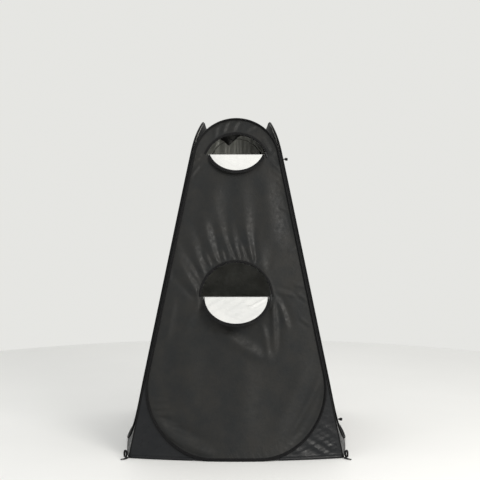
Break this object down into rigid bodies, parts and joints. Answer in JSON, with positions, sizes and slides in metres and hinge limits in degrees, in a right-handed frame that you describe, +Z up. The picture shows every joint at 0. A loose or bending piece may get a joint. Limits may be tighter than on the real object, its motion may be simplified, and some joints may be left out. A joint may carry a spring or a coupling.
{
  "type": "pop-up camp toilet shelter",
  "caption": "Tall square pop-up privacy shelter for a camp toilet: sprung hoops in fabric walls, sagging canopy, zipped half-round vents, zipped door and peg tabs.",
  "frame": {"origin": "on the ground in the middle of the square base", "axes": "+Z up, the wall with the two vents towards -Y, the wall with the door towards +Y"},
  "size_m": [1.3344, 1.3344, 1.93],
  "materials": {
    "wall_cloth": "coated woven polyester, soft sheen",
    "canopy_cloth": "thin woven polyester",
    "silver_coating": "silver-white coating on cloth, satin",
    "sleeve_cloth": "folded binding, matt",
    "spring_steel": "bare drawn wire",
    "ferrule_steel": "bare tube",
    "zip_tape": "woven tape with coil teeth",
    "zip_metal": "black enamel",
    "webbing": "woven polypropylene",
    "eyelet_steel": "nickel plated"
  },
  "bodies": {
    "front_panel": {"canopy": "canopy_cloth", "front_hoop_ferrule": "ferrule_steel", "front_hoop_sleeve": "sleeve_cloth", "front_hoop_wire": "spring_steel", "front_left_corner_loop": "webbing", "front_left_gusset": "wall_cloth", "front_left_peg_eyelet": "eyelet_steel", "front_left_peg_tab": "webbing", "front_right_corner_loop": "webbing", "front_right_gusset": "wall_cloth", "front_right_peg_eyelet": "eyelet_steel", "front_right_peg_tab": "webbing", "front_wall": "wall_cloth", "middle_frame_tape": "zip_tape", "upper_frame_tape": "zip_tape"},
    "right_panel": {"right_hoop_ferrule": "ferrule_steel", "right_hoop_sleeve": "sleeve_cloth", "right_hoop_wire": "spring_steel", "right_left_gusset": "wall_cloth", "right_lower_guy_loop": "webbing", "right_right_gusset": "wall_cloth", "right_upper_guy_loop": "webbing", "right_wall": "wall_cloth"},
    "left_panel": {"left_hoop_ferrule": "ferrule_steel", "left_hoop_sleeve": "sleeve_cloth", "left_hoop_wire": "spring_steel", "left_left_gusset": "wall_cloth", "left_lower_guy_loop": "webbing", "left_right_gusset": "wall_cloth", "left_upper_guy_loop": "webbing", "left_wall": "wall_cloth"},
    "back_panel": {"back_hoop_ferrule": "ferrule_steel", "back_hoop_sleeve": "sleeve_cloth", "back_hoop_wire": "spring_steel", "back_left_corner_loop": "webbing", "back_left_gusset": "wall_cloth", "back_left_peg_eyelet": "eyelet_steel", "back_left_peg_tab": "webbing", "back_right_corner_loop": "webbing", "back_right_gusset": "wall_cloth", "back_right_peg_eyelet": "eyelet_steel", "back_right_peg_tab": "webbing", "back_wall": "wall_cloth", "door_frame_tape": "zip_tape"},
    "upper_flap": {"upper_flap": "silver_coating", "upper_flap_tape": "zip_tape"},
    "middle_flap": {"middle_flap": "silver_coating", "middle_flap_tape": "zip_tape"},
    "upper_slider": {"upper_slider": "zip_metal"},
    "upper_pull": {"upper_pull": "zip_metal"},
    "middle_slider": {"middle_slider": "zip_metal"},
    "middle_pull": {"middle_pull": "zip_metal"},
    "door": {"door_panel": "wall_cloth", "door_flap_tape": "zip_tape"},
    "door_slider": {"door_slider": "zip_metal"},
    "door_pull": {"door_pull": "zip_metal"}
  },
  "joints": [
    {"name": "front_right_fold", "type": "hinge", "parent": "front_panel", "child": "right_panel", "pos_m": [0.595, -0.595, 0], "axis": [-0.188, 0.188, 0.964], "range_deg": [0, 66], "stiffness_Nm_per_rad": 15, "deforming": ["canopy"]},
    {"name": "front_left_fold", "type": "hinge", "parent": "front_panel", "child": "left_panel", "pos_m": [-0.595, -0.595, 0], "axis": [0.188, 0.188, 0.964], "range_deg": [0, 66]},
    {"name": "back_right_fold", "type": "hinge", "parent": "right_panel", "child": "back_panel", "pos_m": [0.595, 0.595, 0], "axis": [0.188, 0.188, -0.964], "range_deg": [0, 66]},
    {"name": "upper_flap_hinge", "type": "hinge", "parent": "front_panel", "child": "upper_flap", "pos_m": [0, -0.25922, 1.7068], "axis": [-1, 0, 0], "range_deg": [-12, 168]},
    {"name": "middle_flap_hinge", "type": "hinge", "parent": "front_panel", "child": "middle_flap", "pos_m": [0, -0.42677, 0.87838], "axis": [-1, 0, 0], "range_deg": [-28, 152]},
    {"name": "upper_slider_run", "type": "hinge", "parent": "front_panel", "child": "upper_slider", "pos_m": [0, -0.27137, 1.64756], "axis": [0, -0.9684, 0.2492], "range_deg": [0, 137]},
    {"name": "middle_slider_run", "type": "hinge", "parent": "front_panel", "child": "middle_slider", "pos_m": [0, -0.42379, 0.878], "axis": [0, -0.9815, 0.1914], "range_deg": [0, 175]},
    {"name": "upper_pull_swing", "type": "hinge", "parent": "upper_slider", "child": "upper_pull", "pos_m": [0.17453, -0.26399, 1.71599], "axis": [-0.9316, -0.0906, -0.3521], "range_deg": [0, 150]},
    {"name": "middle_pull_swing", "type": "hinge", "parent": "middle_slider", "child": "middle_pull", "pos_m": [0.19984, -0.43198, 0.88775], "axis": [-0.9992, -0.0077, -0.0393], "range_deg": [0, 150]},
    {"name": "door_swing", "type": "hinge", "parent": "back_panel", "child": "door", "pos_m": [0.35259, 0.44002, 0.8], "axis": [0.188, 0.188, -0.964], "range_deg": [0, 140]},
    {"name": "door_slider_run", "type": "slide", "parent": "back_panel", "child": "door_slider", "axis": [0.188, -0.188, 0.964], "range_m": [0, 0.94]},
    {"name": "door_pull_swing", "type": "hinge", "parent": "door_slider", "child": "door_pull", "pos_m": [-0.40719, 0.50332, 0.52189], "axis": [0.9822, 0.036, -0.1845], "range_deg": [0, 150]}
  ],
  "couplings": [
    {"joint": "front_left_fold", "follows": "front_right_fold", "ratio": 0.976},
    {"joint": "back_right_fold", "follows": "front_right_fold", "ratio": 0.976}
  ]
}
